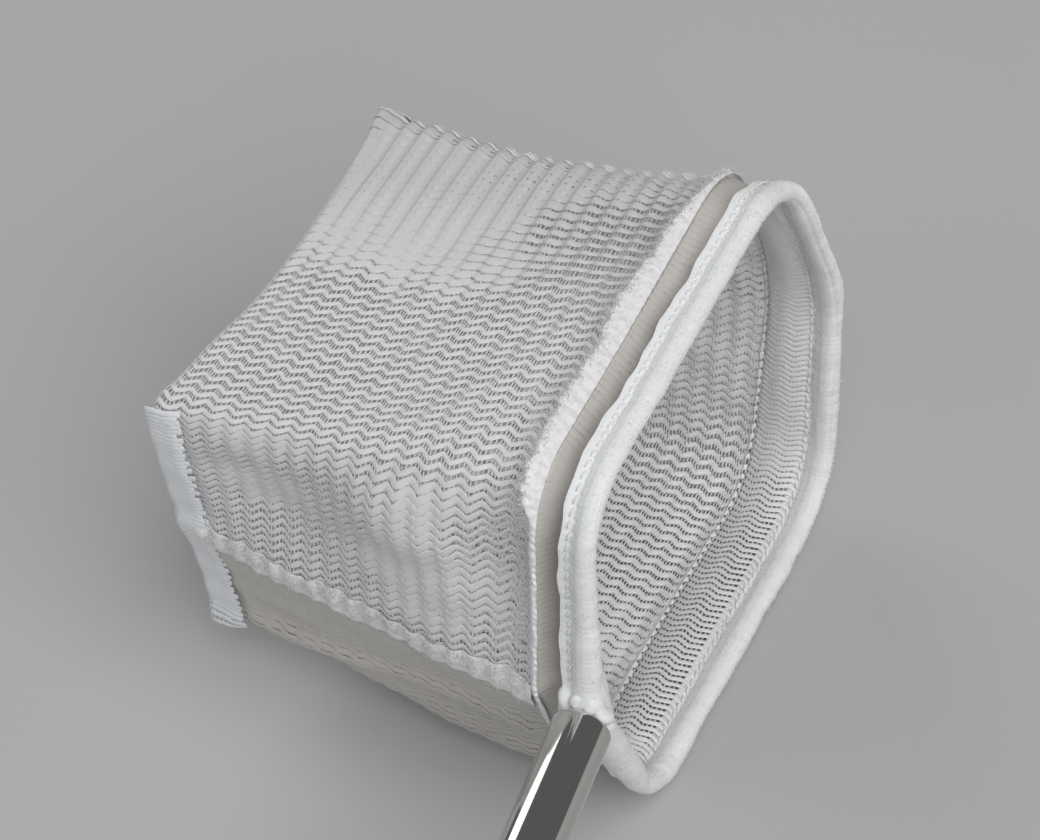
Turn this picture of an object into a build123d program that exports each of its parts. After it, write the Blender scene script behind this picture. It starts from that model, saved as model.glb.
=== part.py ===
import os
from math import cos, radians, sin, tan

from build123d import *

os.makedirs("parts", exist_ok=True)

# Aquarium fish net: a wire hoop with a boxed mesh pocket on a sliding tube handle.
# +Y runs along the handle towards the net and +X points out of the net's mouth.
# +Z is up with the net lying on its side. All sizes are in millimetres.
# The origin is on the handle axis, where the hand holds the grip.

# Handle tubes
tip_diameter = 8.0
tube_wall = 0.45
tube_gap = 0.35
running_clearance = 0.05
lip_length = 1.2
tip_mouth_diameter = 5.8
hold_setback = 40.0
main_length = 150.0
mid_showing = 16.0
tip_showing = 32.0
stop_gap = 1.0
bush_grip = 12.0
bush_flange = 2.0
bush_bore_diameter = 4.0

# Grip and end cap
grip_length = 100.0
grip_diameter = 16.0
grip_edge = 1.5
groove_count = 4
groove_depth = 0.6
groove_width = 1.6
groove_pitch = 4.2
groove_setback = 5.0
cap_length = 16.0
cap_collar = 4.0
cap_step = 0.5
cap_tab_thickness = 7.0
cap_dome = 4.5
cap_plug_length = 12.0
hang_hole_diameter = 5.0
hang_hole_setback = 6.0

# Wire hoop, seen from the mouth: two legs, two sides and a crowned far end
wire_diameter = 2.4
wire_spacing = 2.8
wire_bend_radius = 2.6
mouth_gap = 0.3
tail_length = 14.0
hoop_tilt = 6.3
leg_rise = 8.0
near_width = 64.0
side_length = 58.6
far_width = 68.0
crown_rise = 9.9
near_corner_radius = 10.7
far_corner_radius = 13.4
crown_radius = 25.0
heel_radius = 8.0
plug_length = 11.0
plug_setback = 1.6

# Cloth
cloth = 0.8
sleeve_diameter = 4.0
sleeve_start = 4.6
binding_diameter = 5.8
binding_half_length = 6.4
binding_rise = 1.7
binding_edge = 1.6
band_start = 1.7
seam_depth = 8.5
seam_allowance = 3.5
seam_thickness = 1.2
stitch_depth = 3.0
stitch_width = 0.6
stitch_thickness = 0.3
rear_depth = 67.2
rear_lean = 4.1
rear_near = 8.9
rear_near_width = 47.0
rear_far = 67.8
rear_far_width = 51.0
rear_bow = 1.5
rear_corner_radius = 4.0
rear_bow_radius = 12.0
side_seam_height = 4.0
side_seam_thickness = 1.0
corner_seam_height = 4.0

# Derived handle sizes
tip_radius = tip_diameter / 2
tip_bore = tip_radius - tube_wall
mid_bore = tip_radius + tube_gap
mid_radius = mid_bore + tube_wall
main_bore = mid_radius + tube_gap
main_radius = main_bore + tube_wall
butt = -hold_setback
main_mouth = butt + main_length
mid_mouth = main_mouth + mid_showing
tip_mouth = mid_mouth + tip_showing
mid_start = butt + cap_plug_length + stop_gap + bush_flange
tip_start = mid_start + stop_gap + bush_flange
grip_radius = grip_diameter / 2
wire_radius = wire_diameter / 2
half_spacing = wire_spacing / 2


# The five points of an arc that rounds a corner: start, quarter, middle, three quarters, end.
# A positive growth widens the arc about its own centre.
def bend(before, corner, after, radius, growth=0.0):
    to_before = (before - corner).normalized()
    to_after = (after - corner).normalized()
    half_angle = radians(to_before.get_angle(to_after) / 2)
    inward = (to_before + to_after).normalized()
    centre = corner + inward * (radius / sin(half_angle))
    start = (corner + to_before * (radius / tan(half_angle)) - centre).normalized()
    end = (corner + to_after * (radius / tan(half_angle)) - centre).normalized()
    middle = inward * -1.0
    spokes = [start, (start + middle).normalized(), middle, (middle + end).normalized(), end]
    return [centre + spoke * (radius + growth) for spoke in spokes]


# One bend per corner of a closed outline.
def bends(corners, radii, growth=0.0):
    found = []
    for index, radius in enumerate(radii):
        after = corners[(index + 1) % len(corners)]
        found.append(bend(corners[index - 1], corners[index], after, radius, growth))
    return found


# The hoop plane: its own x runs away from the handle, its own y is up, its own z leaves the mouth.
tilt = radians(hoop_tilt)
leg_angle = Vector(0, 1).get_angle(Vector(leg_rise, near_width / 2 - half_spacing))
bend_reach = wire_bend_radius * tan(radians((90 - leg_angle) / 2))
junction = tip_mouth + mouth_gap + bend_reach
head = Plane(
    origin=(0, junction, 0),
    x_dir=(sin(tilt), cos(tilt), 0),
    z_dir=(cos(tilt), -sin(tilt), 0),
)
seam_plane = head.offset(-seam_depth)

# The rear end leans so that its near edge is the deeper one.
lean = radians(hoop_tilt + rear_lean)
rear_plane = Plane(
    origin=head.from_local_coords((0, 0, -rear_depth)),
    x_dir=(sin(lean), cos(lean), 0),
    z_dir=(cos(lean), -sin(lean), 0),
)

heel = -half_spacing * leg_rise / (near_width / 2 - half_spacing)
far_line = leg_rise + side_length
mouth_corners = [
    Vector(heel, 0),
    Vector(leg_rise, near_width / 2),
    Vector(far_line, far_width / 2),
    Vector(far_line + crown_rise, 0),
    Vector(far_line, -far_width / 2),
    Vector(leg_rise, -near_width / 2),
]
mouth_radii = [
    heel_radius,
    near_corner_radius,
    far_corner_radius,
    crown_radius,
    far_corner_radius,
    near_corner_radius,
]
rear_corners = [
    Vector(rear_near - rear_bow, 0),
    Vector(rear_near, rear_near_width / 2),
    Vector(rear_far, rear_far_width / 2),
    Vector(rear_far + rear_bow, 0),
    Vector(rear_far, -rear_far_width / 2),
    Vector(rear_near, -rear_near_width / 2),
]
rear_radii = [
    rear_bow_radius,
    rear_corner_radius,
    rear_corner_radius,
    rear_bow_radius,
    rear_corner_radius,
    rear_corner_radius,
]

with BuildSketch() as mouth_shape:
    with BuildLine():
        turns = bends(mouth_corners, mouth_radii)
        for here, after in zip(turns, turns[1:] + turns[:1]):
            ThreePointArc(here[0], here[2], here[4])
            Line(here[4], after[0])
    make_face()

with BuildSketch() as rear_shape:
    with BuildLine():
        turns = bends(rear_corners, rear_radii)
        for here, after in zip(turns, turns[1:] + turns[:1]):
            ThreePointArc(here[0], here[2], here[4])
            Line(here[4], after[0])
    make_face()

# Outer tube: the hand holds it through the grip
with BuildPart() as main_tube:
    with BuildSketch() as profile:
        with BuildLine():
            Polyline(
                (main_bore, butt),
                (main_radius, butt),
                (main_radius, main_mouth),
                (mid_radius + running_clearance, main_mouth),
                (mid_radius + running_clearance, main_mouth - lip_length),
                (main_bore, main_mouth - lip_length),
                close=True,
            )
        make_face()
        rim = profile.vertices().group_by(Axis.Y)[-1].sort_by(Axis.X)[-1]
        fillet(rim, radius=(main_radius - mid_radius) * 0.7)
    revolve(axis=Axis.Y)
main_tube.part.label = "main_tube"
export_step(main_tube.part, "parts/main_tube.step")

# Middle tube: slides and turns in the outer tube
with BuildPart() as mid_tube:
    with BuildSketch() as profile:
        with BuildLine():
            Polyline(
                (mid_bore, mid_start),
                (mid_radius, mid_start),
                (mid_radius, mid_mouth),
                (tip_radius + running_clearance, mid_mouth),
                (tip_radius + running_clearance, mid_mouth - lip_length),
                (mid_bore, mid_mouth - lip_length),
                close=True,
            )
        make_face()
        rim = profile.vertices().group_by(Axis.Y)[-1].sort_by(Axis.X)[-1]
        fillet(rim, radius=(mid_radius - tip_radius) * 0.7)
    revolve(axis=Axis.Y)
mid_tube.part.label = "mid_tube"
export_step(mid_tube.part, "parts/mid_tube.step")

# Tip tube: its rolled mouth holds the two wire tails
with BuildPart() as tip_tube:
    with BuildSketch() as profile:
        with BuildLine():
            Polyline(
                (tip_bore, tip_start),
                (tip_radius, tip_start),
                (tip_radius, tip_mouth),
                (tip_mouth_diameter / 2, tip_mouth),
                (tip_mouth_diameter / 2, tip_mouth - lip_length),
                (tip_bore, tip_mouth - lip_length),
                close=True,
            )
        make_face()
        rim = profile.vertices().group_by(Axis.Y)[-1].sort_by(Axis.X)[-1]
        fillet(rim, radius=(tip_diameter - tip_mouth_diameter) / 2 * 0.8)
    revolve(axis=Axis.Y)
tip_tube.part.label = "tip_tube"
export_step(tip_tube.part, "parts/tip_tube.step")

# Friction bush on the inner end of the middle tube
with BuildPart() as mid_bush:
    with BuildSketch():
        with BuildLine():
            Polyline(
                (bush_bore_diameter / 2, mid_start - bush_flange),
                (main_bore - running_clearance, mid_start - bush_flange),
                (main_bore - running_clearance, mid_start + bush_grip),
                (mid_radius + running_clearance, mid_start + bush_grip),
                (mid_radius + running_clearance, mid_start),
                (bush_bore_diameter / 2, mid_start),
                close=True,
            )
        make_face()
    revolve(axis=Axis.Y)
mid_bush.part.label = "mid_bush"
export_step(mid_bush.part, "parts/mid_bush.step")

# Friction bush on the inner end of the tip tube
with BuildPart() as tip_bush:
    with BuildSketch():
        with BuildLine():
            Polyline(
                (bush_bore_diameter / 2, tip_start - bush_flange),
                (mid_bore - running_clearance, tip_start - bush_flange),
                (mid_bore - running_clearance, tip_start + bush_grip),
                (tip_radius + running_clearance, tip_start + bush_grip),
                (tip_radius + running_clearance, tip_start),
                (bush_bore_diameter / 2, tip_start),
                close=True,
            )
        make_face()
    revolve(axis=Axis.Y)
tip_bush.part.label = "tip_bush"
export_step(tip_bush.part, "parts/tip_bush.step")

# Soft grip with a few rings near its front end
with BuildPart() as grip:
    with BuildSketch() as profile:
        with BuildLine():
            Polyline(
                (main_radius, butt),
                (grip_radius, butt),
                (grip_radius, butt + grip_length),
                (main_radius, butt + grip_length),
                close=True,
            )
        make_face()
        fillet(profile.vertices().group_by(Axis.X)[-1], radius=grip_edge)
    revolve(axis=Axis.Y)
    with BuildSketch():
        for ring in range(groove_count):
            with Locations((grip_radius, butt + grip_length - groove_setback - ring * groove_pitch)):
                Rectangle(groove_depth * 2, groove_width)
    revolve(axis=Axis.Y, mode=Mode.SUBTRACT)
grip.part.label = "grip"
export_step(grip.part, "parts/grip.step")

# End cap: a plug in the outer tube and a flattened eye to hang the net by
with BuildPart() as end_cap:
    with BuildSketch() as profile:
        with BuildLine():
            Polyline(
                (0, butt - cap_length),
                (grip_radius - cap_step, butt - cap_length),
                (grip_radius - cap_step, butt),
                (main_bore, butt),
                (main_bore, butt + cap_plug_length),
                (0, butt + cap_plug_length),
                close=True,
            )
        make_face()
        fillet(profile.vertices().group_by(Axis.Y)[0].sort_by(Axis.X)[-1], radius=cap_dome)
    revolve(axis=Axis.Y)
    with BuildSketch(Plane.XY):
        for side in (-1, 1):
            with Locations((side * (cap_tab_thickness + grip_radius) / 2, butt - cap_collar - cap_length / 2)):
                Rectangle(grip_radius, cap_length)
    extrude(amount=grip_radius, both=True, mode=Mode.SUBTRACT)
    with BuildSketch(Plane.YZ):
        with Locations((butt - cap_length + hang_hole_setback, 0)):
            Circle(hang_hole_diameter / 2)
    extrude(amount=grip_radius, both=True, mode=Mode.SUBTRACT)
end_cap.part.label = "end_cap"
export_step(end_cap.part, "parts/end_cap.step")

# The hoop is one wire; both tails run side by side down the tip tube
foot_low = Vector(0, junction, -half_spacing)
foot_high = Vector(0, junction, half_spacing)
around = [head.from_local_coords(corner) for corner in mouth_corners[1:]]
wire_corners = [
    foot_high - Vector(0, tail_length, 0),
    foot_high,
    *around,
    foot_low,
    foot_low - Vector(0, tail_length, 0),
]
wire_radii = [wire_bend_radius, *mouth_radii[1:], wire_bend_radius]

with BuildPart() as hoop_wire:
    with BuildLine() as path:
        last = wire_corners[0]
        for index, radius in enumerate(wire_radii):
            turn = bend(wire_corners[index], wire_corners[index + 1], wire_corners[index + 2], radius)
            Line(last, turn[0])
            ThreePointArc(turn[0], turn[2], turn[4])
            last = turn[4]
        Line(last, wire_corners[-1])
    with BuildSketch(Plane(wire_corners[0], z_dir=(0, 1, 0))):
        Circle(wire_radius)
    sweep()
hoop_wire.part.label = "hoop_wire"
export_step(hoop_wire.part, "parts/hoop_wire.step")

# Plug that grips both tails inside the tube's mouth
with BuildPart() as wire_plug:
    with BuildSketch(Plane.XZ.offset(-tip_mouth + plug_setback)):
        Circle(tip_bore)
        with Locations((0, half_spacing), (0, -half_spacing)):
            Circle(wire_radius, mode=Mode.SUBTRACT)
    extrude(amount=plug_length)
wire_plug.part.label = "wire_plug"
export_step(wire_plug.part, "parts/wire_plug.step")

# Mesh folded round the wire from leg to leg
leg_high = (around[0] - foot_high).normalized()
leg_low = (around[-1] - foot_low).normalized()
sleeve_corners = [foot_high + leg_high * sleeve_start, *around, foot_low + leg_low * sleeve_start]

with BuildPart() as rim_sleeve:
    with BuildLine() as path:
        last = sleeve_corners[0]
        for index, radius in enumerate(mouth_radii[1:]):
            turn = bend(sleeve_corners[index], sleeve_corners[index + 1], sleeve_corners[index + 2], radius)
            Line(last, turn[0])
            ThreePointArc(turn[0], turn[2], turn[4])
            last = turn[4]
        Line(last, sleeve_corners[-1])
    with BuildSketch(Plane(sleeve_corners[0], z_dir=leg_high)):
        Circle(sleeve_diameter / 2)
        Circle(wire_radius, mode=Mode.SUBTRACT)
    sweep()
rim_sleeve.part.label = "rim_sleeve"
export_step(rim_sleeve.part, "parts/rim_sleeve.step")

# Gathered cloth end that ties the two legs together at the tube's mouth
with BuildPart() as leg_binding:
    with BuildSketch(Plane(head.from_local_coords((binding_rise, 0, 0)))):
        Circle(binding_diameter / 2)
    extrude(amount=binding_half_length, both=True)
    fillet(leg_binding.edges().filter_by(GeomType.CIRCLE), radius=binding_edge)
    add(hoop_wire.part, mode=Mode.SUBTRACT)
    add(rim_sleeve.part, mode=Mode.SUBTRACT)
leg_binding.part.label = "leg_binding"
export_step(leg_binding.part, "parts/leg_binding.step")

# Mesh band between the wire and the pocket
with BuildPart() as header_band:
    with BuildSketch(seam_plane):
        offset(mouth_shape.sketch, amount=cloth / 2)
        offset(mouth_shape.sketch, amount=-cloth / 2, mode=Mode.SUBTRACT)
    extrude(amount=seam_depth - band_start)
    add(rim_sleeve.part, mode=Mode.SUBTRACT)
    add(leg_binding.part, mode=Mode.SUBTRACT)
header_band.part.label = "header_band"
export_step(header_band.part, "parts/header_band.step")

# Row of stitches that closes the fold behind the wire
with BuildPart() as rim_stitching:
    with BuildSketch(head.offset(-stitch_depth)):
        offset(mouth_shape.sketch, amount=cloth / 2 + stitch_thickness)
        offset(mouth_shape.sketch, amount=cloth / 2, mode=Mode.SUBTRACT)
    extrude(amount=-stitch_width)
rim_stitching.part.label = "rim_stitching"
export_step(rim_stitching.part, "parts/rim_stitching.step")

# Raw seam edge that stands out where the pocket joins the band
with BuildPart() as front_seam:
    with BuildSketch(seam_plane):
        offset(mouth_shape.sketch, amount=cloth / 2 + seam_allowance)
        offset(mouth_shape.sketch, amount=cloth / 2, mode=Mode.SUBTRACT)
    extrude(amount=seam_thickness / 2, both=True)
front_seam.part.label = "front_seam"
export_step(front_seam.part, "parts/front_seam.step")

# Pocket walls, one between each pair of neighbouring corners
front_outer = bends(mouth_corners, mouth_radii, cloth / 2)
front_inner = bends(mouth_corners, mouth_radii, -cloth / 2)
rear_outer = bends(rear_corners, rear_radii, cloth / 2)
rear_inner = bends(rear_corners, rear_radii, -cloth / 2)
wall_names = [
    "near_wall_upper",
    "top_wall",
    "far_wall_upper",
    "far_wall_lower",
    "bottom_wall",
    "near_wall_lower",
]

for index, wall_name in enumerate(wall_names):
    following = (index + 1) % len(wall_names)
    with BuildPart() as wall:
        for plane, outer, inner in (
            (seam_plane, front_outer, front_inner),
            (rear_plane, rear_outer, rear_inner),
        ):
            with BuildSketch(plane):
                with BuildLine():
                    ThreePointArc(*outer[index][2:])
                    Line(outer[index][4], outer[following][0])
                    ThreePointArc(*outer[following][:3])
                    Line(outer[following][2], inner[following][2])
                    ThreePointArc(*inner[following][2::-1])
                    Line(inner[following][0], inner[index][4])
                    ThreePointArc(*inner[index][:1:-1])
                    Line(inner[index][2], outer[index][2])
                make_face()
        loft(ruled=True)
    wall.part.label = wall_name
    export_step(wall.part, f"parts/{wall_name}.step")

# Flat rear end of the pocket
with BuildPart() as rear_wall:
    with BuildSketch(rear_plane):
        offset(rear_shape.sketch, amount=cloth / 2)
    extrude(amount=-cloth)
rear_wall.part.label = "rear_wall"
export_step(rear_wall.part, "parts/rear_wall.step")

# Boxed corner seams: a strip along the near edge and the far edge of the rear end
for seam_name, side, edge, width in (
    ("near_corner_seam", -1, rear_near, rear_near_width),
    ("far_corner_seam", 1, rear_far, rear_far_width),
):
    with BuildPart() as corner_seam:
        with BuildSketch(rear_plane):
            offset(rear_shape.sketch, amount=cloth / 2 + corner_seam_height)
            offset(rear_shape.sketch, amount=cloth / 2, mode=Mode.SUBTRACT)
            with Locations((edge + side * width / 2, 0)):
                Rectangle(width, width, mode=Mode.INTERSECT)
        extrude(amount=-cloth)
    corner_seam.part.label = seam_name
    export_step(corner_seam.part, f"parts/{seam_name}.step")

# Side seams: raw edges that stand out along the middle of the near and the far side
for seam_name, side, place in (("near_side_seam", -1, 0), ("far_side_seam", 1, 3)):
    seam_front = seam_plane.from_local_coords(front_outer[place][2])
    seam_rear = rear_plane.from_local_coords(rear_outer[place][2])
    along = (seam_rear - seam_front).normalized()
    out = head.x_dir * (side * side_seam_height)
    seam_from = seam_front + along * seam_thickness
    seam_to = seam_rear - along * seam_thickness
    with BuildPart() as side_seam:
        with BuildSketch(Plane.XY):
            with BuildLine():
                Polyline(seam_from, seam_to, seam_to + out, seam_from + out, close=True)
            make_face()
        extrude(amount=side_seam_thickness / 2, both=True)
    side_seam.part.label = seam_name
    export_step(side_seam.part, f"parts/{seam_name}.step")
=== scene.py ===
import bpy
import numpy as np
from mathutils import Matrix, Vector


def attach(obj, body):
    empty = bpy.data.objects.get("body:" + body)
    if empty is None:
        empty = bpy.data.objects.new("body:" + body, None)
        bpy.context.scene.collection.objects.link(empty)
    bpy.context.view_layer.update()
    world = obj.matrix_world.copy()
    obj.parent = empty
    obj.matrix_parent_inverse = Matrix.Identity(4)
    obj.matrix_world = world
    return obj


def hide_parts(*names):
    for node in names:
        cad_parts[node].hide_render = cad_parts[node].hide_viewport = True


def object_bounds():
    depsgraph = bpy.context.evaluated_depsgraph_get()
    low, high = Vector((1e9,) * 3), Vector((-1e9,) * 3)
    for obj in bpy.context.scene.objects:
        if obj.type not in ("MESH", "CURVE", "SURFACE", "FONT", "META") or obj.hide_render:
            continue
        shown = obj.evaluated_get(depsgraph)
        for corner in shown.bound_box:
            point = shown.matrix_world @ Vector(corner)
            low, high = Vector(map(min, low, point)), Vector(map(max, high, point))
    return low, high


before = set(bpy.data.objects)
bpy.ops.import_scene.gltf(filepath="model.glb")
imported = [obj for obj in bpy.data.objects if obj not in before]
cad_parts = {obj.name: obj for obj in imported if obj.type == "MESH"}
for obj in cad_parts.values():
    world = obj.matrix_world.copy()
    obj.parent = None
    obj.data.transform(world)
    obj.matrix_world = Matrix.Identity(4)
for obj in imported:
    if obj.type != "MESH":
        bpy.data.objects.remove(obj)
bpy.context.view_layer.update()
print("frame:", len(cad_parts), "nodes")

# Sizes below are millimetres in the head's own frame: x leaves the mouth, y runs away from the handle,
# z is up, and the origin is where the two wire legs meet the tube.
headFrame = dict(tilt=6.3, junction=160.307)
mouth = dict(
    corners=[(-0.366, 0), (8, 32), (66.6, 34), (76.5, 0), (66.6, -34), (8, -32)],
    radii=[8, 10.7, 13.4, 25, 13.4, 10.7],
)
rear = dict(
    corners=[(7.4, 0), (8.9, 23.5), (67.8, 25.5), (69.3, 0), (67.8, -25.5), (8.9, -23.5)],
    radii=[12, 4, 4, 12, 4, 4],
    depth=67.2,
    lean=4.1,
)
yarn = dict(
    rowPitch=1.6,
    step=0.53,
    stepsPerZigzag=6,
    swing=0.40,  # share of the pitch
    width=0.76,
    height=0.15,
    rung=0.25,
    sway=0.025,  # how far a row strays from its place, as a share of the pitch
    uneven=0.08,  # how much a row's thickness varies
    rungUneven=0.15,
    overlap=1.5,  # rows wider than this lie on each other and keep an even width
)
fibre = dict(radius=0.035, taper=0.8, bend=0.35, spread=0.7)
chance = np.random.default_rng(11)


def unit(v):
    return v / np.maximum(np.linalg.norm(v, axis=-1, keepdims=True), 1e-12)


def smooth(t):
    t = np.clip(t, 0, 1)
    return t * t * (3 - 2 * t)


# Head frame in mm to the shared frame in metres: turn by the hoop's tilt about z, then move to the junction.
def toShared(p):
    x, y, z = np.moveaxis(p, -1, 0)
    c, s = np.cos(np.radians(headFrame["tilt"])), np.sin(np.radians(headFrame["tilt"]))
    return np.stack([c * x + s * y, headFrame["junction"] - s * x + c * y, z], -1) / 1000


# Closed outline whose corners are arcs that touch both sides, started at the middle of the first arc.
def roundedLoop(corners, radii, arcPoints=33):
    corners, radii = np.asarray(corners, float), np.asarray(radii, float)[:, None]
    before = unit(np.roll(corners, 1, 0) - corners)
    after = unit(np.roll(corners, -1, 0) - corners)
    half = np.arccos((before * after).sum(1, keepdims=True)) / 2
    centre = corners + unit(before + after) * radii / np.sin(half)
    first = unit(corners + before * radii / np.tan(half) - centre)[:, None]
    last = unit(corners + after * radii / np.tan(half) - centre)[:, None]
    swing = (np.pi - 2 * half)[:, None]
    turn = np.linspace(0, 1, arcPoints)[None, :, None]
    spokes = (np.sin((1 - turn) * swing) * first + np.sin(turn * swing) * last) / np.sin(swing)
    points = np.roll((centre[:, None] + radii[:, None] * spokes).reshape(-1, 2), -(arcPoints // 2), 0)
    points = np.vstack([points, points[:1]])
    along = np.r_[0, np.cumsum(np.linalg.norm(np.diff(points, axis=0), axis=1))]
    return dict(points=points, along=along, marks=along[::arcPoints])


mouthLoop = roundedLoop(mouth["corners"], mouth["radii"])
rearLoop = roundedLoop(rear["corners"], rear["radii"])


# Place on an outline by length from the heel.
def loopAt(loop, length):
    return np.stack([np.interp(length, loop["along"], loop["points"][:, k]) for k in (0, 1)], -1)


# Wall count q: 0 at the heel, 1 upper near corner, 2 upper far corner, 3 crown, 4 and 5 the lower corners.
def wallLength(loop, q):
    return np.interp(np.mod(q, 6), np.arange(7), loop["marks"])


def wallOf(loop, length):
    return np.interp(length, loop["marks"], np.arange(7))


def loopPoint(loop, q):
    return loopAt(loop, wallLength(loop, q))


# Outward direction in the outline's plane: the tangent turned a quarter to the left.
def loopOut(loop, q, reach=0.012):
    along = unit(loopPoint(loop, q + reach) - loopPoint(loop, q - reach))
    return np.stack([-along[..., 1], along[..., 0]], -1)


# A value that is set at each wall count and runs smoothly between them.
def roundTheMouth(q, knots):
    q = np.mod(q, 6)
    places, values = np.array(sorted(knots.items()), float).T
    places, values = np.r_[places, places[0] + 6], np.r_[values, values[0]]
    k = np.clip(np.searchsorted(places, q, "right") - 1, 0, len(places) - 2)
    share = smooth((q - places[k]) / (places[k + 1] - places[k]))
    return values[k] + (values[k + 1] - values[k]) * share


def wave(t):
    return 2 * np.abs(2 * (t - np.floor(t + 0.5))) - 1


# Soft random field: a few sine waves of mixed directions, about -1 to 1.
def ripple(a, b, seed, waves=6):
    dice = np.random.default_rng(seed)
    k, phase = dice.normal(size=(waves, 2)), dice.uniform(0, 2 * np.pi, waves)
    total = sum(np.sin(k[i, 0] * a + k[i, 1] * b + phase[i]) for i in range(waves))
    return total / np.sqrt(waves)


def addPiece(name, points, faces, uv=None):
    mesh = bpy.data.meshes.new(name)
    corners = np.concatenate([f.ravel() for f in faces]).astype(np.int32)
    sizes = np.concatenate([np.full(len(f), f.shape[1]) for f in faces])
    mesh.vertices.add(len(points))
    mesh.vertices.foreach_set("co", points.astype(np.float32).ravel())
    mesh.loops.add(len(corners))
    mesh.loops.foreach_set("vertex_index", corners)
    mesh.polygons.add(len(sizes))
    mesh.polygons.foreach_set("loop_start", np.r_[0, np.cumsum(sizes)[:-1]].astype(np.int32))
    mesh.polygons.foreach_set("use_smooth", np.ones(len(sizes), bool))
    if uv is not None:
        layer = mesh.uv_layers.new(name="OFBake")
        layer.data.foreach_set("uv", uv[corners].astype(np.float32).ravel())
    mesh.update(calc_edges=True)
    mesh.validate()
    piece = bpy.data.objects.new(name, mesh)
    bpy.context.scene.collection.objects.link(piece)
    return piece


def finishPiece(piece, material, slot, *nodes):
    piece.data.materials.append(material)
    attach(piece, "net_head")
    if nodes:
        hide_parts(*nodes)
    print("piece:", piece.name, len(piece.data.polygons), "faces")
    return piece


# Four-cornered faces of a grid of rings, each ring beside the next.
def ringFaces(index, closed=True):
    nextOne = np.roll(index, -1, -1) if closed else index[..., 1:]
    here = index if closed else index[..., :-1]
    a, b = here[..., :-1, :], here[..., 1:, :]
    c, d = nextOne[..., 1:, :], nextOne[..., :-1, :]
    return np.stack([a, b, c, d], -1).reshape(-1, 4)


# Knitted mesh on a surface. Rows of yarn run along u and swing to and fro across v as a zigzag, all in step.
# A row is a flat six-sided profile carried along its path; thin three-sided rungs join it to the next row.
def knit(surface, u, v, width=None, rung=None, swing=None, lastRow=True, tail=None):
    width = np.asarray(yarn["width"] if width is None else width)
    width = np.broadcast_to(width[:, None] if width.ndim == 1 else width, (len(v), len(u)))[..., None]
    rung = yarn["rung"] if rung is None else rung
    swing = np.broadcast_to(yarn["swing"] if swing is None else swing, len(v))[:, None]
    height = yarn["height"]
    step = np.arange(len(u))
    zigzag = wave(step / yarn["stepsPerZigzag"])
    loose = 1 - 0.85 * smooth((width[..., 0] - yarn["overlap"]) / 0.4)
    jitter = loose * chance.normal(0, yarn["sway"], (len(v), len(u)))
    across = v[:, None] + np.gradient(v)[:, None] * (swing * zigzag + jitter)
    along = np.broadcast_to(u, across.shape)
    if tail is not None:
        along = u[0] + (along - u[0]) * tail[:, None]
    du, dv = 0.5 * np.abs(u[1] - u[0]), 0.5 * np.abs(v[1] - v[0])
    centre = surface(along, across)
    normal = unit(np.cross(
        surface(along + du, across) - surface(along - du, across),
        surface(along, across + dv) - surface(along, across - dv),
    ))
    rows = len(v) if lastRow else len(v) - 1
    path, up = centre[:rows, :, None], normal[:rows, :, None]
    side = np.cross(up, unit(np.gradient(path, axis=1)))
    fat = (1 + yarn["uneven"] * loose[:rows] * chance.normal(size=path.shape[:2]))[..., None, None]
    profileSide = np.array([-0.3, 0.3, 0.5, 0.3, -0.3, -0.5])[:, None]
    profileUp = np.array([0.5, 0.5, 0, -0.5, -0.5, 0])[:, None]
    rings = path + fat * (width[:rows, ..., None] * profileSide * side + height * profileUp * up)
    index = np.arange(rings[..., 0].size).reshape(rings.shape[:3])
    faces = [ringFaces(index), index[:, 0], index[:, -1, ::-1]]
    spanU, spanV = 1 / (len(u) - 1), 1 / (len(v) - 1)
    place = np.stack([(along - u[0]) / (u[-1] - u[0]), (across - v[0]) / (v[-1] - v[0])], -1)
    edge = np.hstack([0.3 * spanU * profileUp, spanV * profileSide])
    uv = [(place[:rows, :, None] + edge * np.minimum(0.8, width[:rows, ..., None])).reshape(-1, 2)]

    inside = 0.3 * width[:-1] / yarn["rowPitch"]
    low = centre[:-1] + inside * (centre[1:] - centre[:-1])
    high = centre[1:] - inside * (centre[1:] - centre[:-1])
    lift = 0.5 * (normal[:-1] + normal[1:])
    beam = unit(np.cross(lift, high - low))
    thin = 0.5 * rung * (1 + yarn["rungUneven"] * chance.normal(size=low.shape[:2]))[..., None]
    flush = 0.05 * height * lift
    spokes = [
        flush + thin * (0.3 * lift - beam),
        flush + thin * (0.3 * lift + beam),
        flush - 0.6 * thin * lift,
    ]
    ends = np.stack([np.stack([p + spoke for spoke in spokes], 2) for p in (low, high)], 2)
    bars = index.size + np.arange(ends[..., 0].size).reshape(ends.shape[:4])
    faces += [ringFaces(bars), bars[:, :, 0].reshape(-1, 3), bars[:, :, 1, ::-1].reshape(-1, 3)]
    reach = inside * (place[1:] - place[:-1])
    both = np.stack([place[:-1] + reach, place[1:] - reach], 2)
    edge = np.array([(-0.5, 0.1), (0.5, 0.1), (0, -0.1)]) * (rung / yarn["step"] * spanU, spanV)
    uv.append((both[:, :, :, None] + edge).reshape(-1, 2))
    points = np.concatenate([rings.reshape(-1, 3), ends.reshape(-1, 3)])
    return points, faces, 0.02 + 0.96 * np.clip(np.concatenate(uv), 0, 1)


# Several meshes as one piece: faces count on from the points before, and each has its own strip of the map.
def together(*meshes):
    points, faces, uv, start = [], [], [], 0
    for order, (p, f, t) in enumerate(meshes):
        points.append(p)
        uv.append((t + (0, order)) / (1, len(meshes)))
        faces += [one + start for one in f]
        start += len(p)
    return np.concatenate(points), faces, np.concatenate(uv)


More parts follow.
